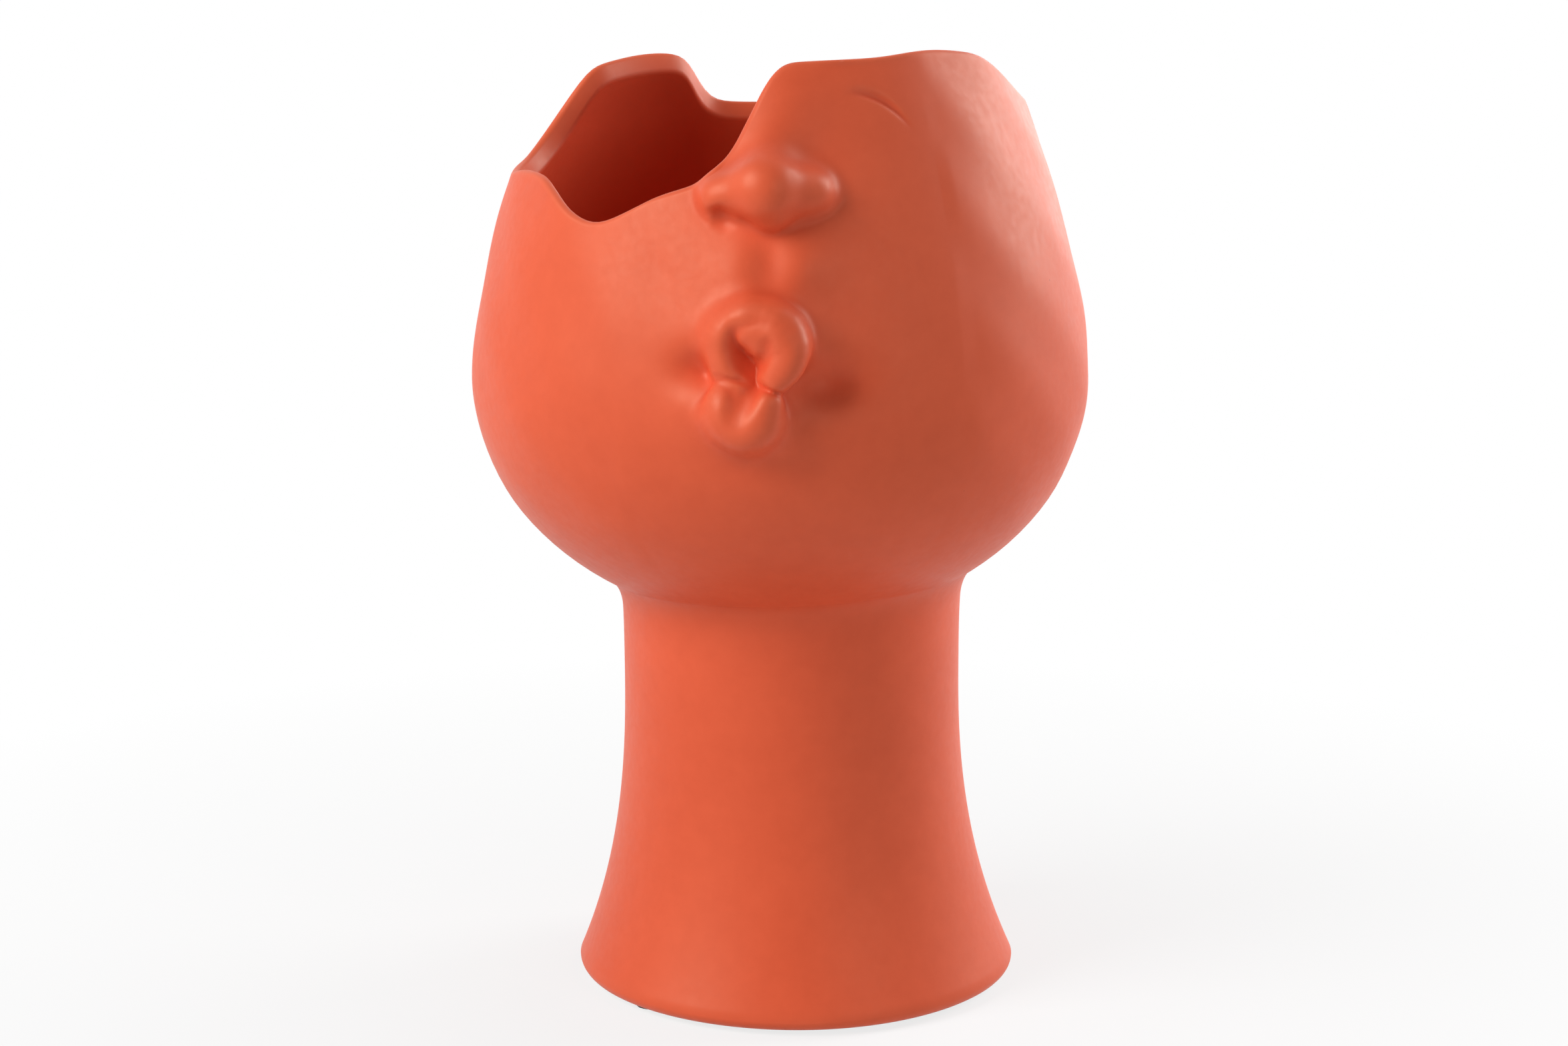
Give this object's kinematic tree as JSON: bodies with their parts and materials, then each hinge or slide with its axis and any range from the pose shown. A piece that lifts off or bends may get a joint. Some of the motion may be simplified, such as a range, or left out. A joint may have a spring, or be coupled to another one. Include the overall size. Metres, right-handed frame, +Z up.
{
  "type": "flower pot",
  "caption": "Flower pot shaped as an eyeless head with nose, puckered lips and a wavy cut rim, on a hollow neck with a flared foot; lift-out drain plug.",
  "frame": {"origin": "centre of the object's box, on the surface that the felt pads stand on", "axes": "+Z up, -Y the way the face looks, +X to the right as someone facing it sees it"},
  "size_m": [0.2266, 0.2404, 0.351],
  "materials": {
    "coral_glaze": "satin matt coral glaze on cast earthenware",
    "black_rubber": "moulded black rubber",
    "dark_felt": "pressed dark felt"
  },
  "bodies": {
    "pot": {"head_bowl": "coral_glaze", "neck_stand": "coral_glaze", "foot_pad_1": "dark_felt", "foot_pad_2": "dark_felt", "foot_pad_3": "dark_felt", "foot_pad_4": "dark_felt"},
    "plug": {"drain_plug": "black_rubber"}
  },
  "joints": [
    {"name": "plug_lift", "type": "slide", "parent": "pot", "child": "plug", "axis": [0, 0, 1], "range_m": [0, 0.23]}
  ]
}
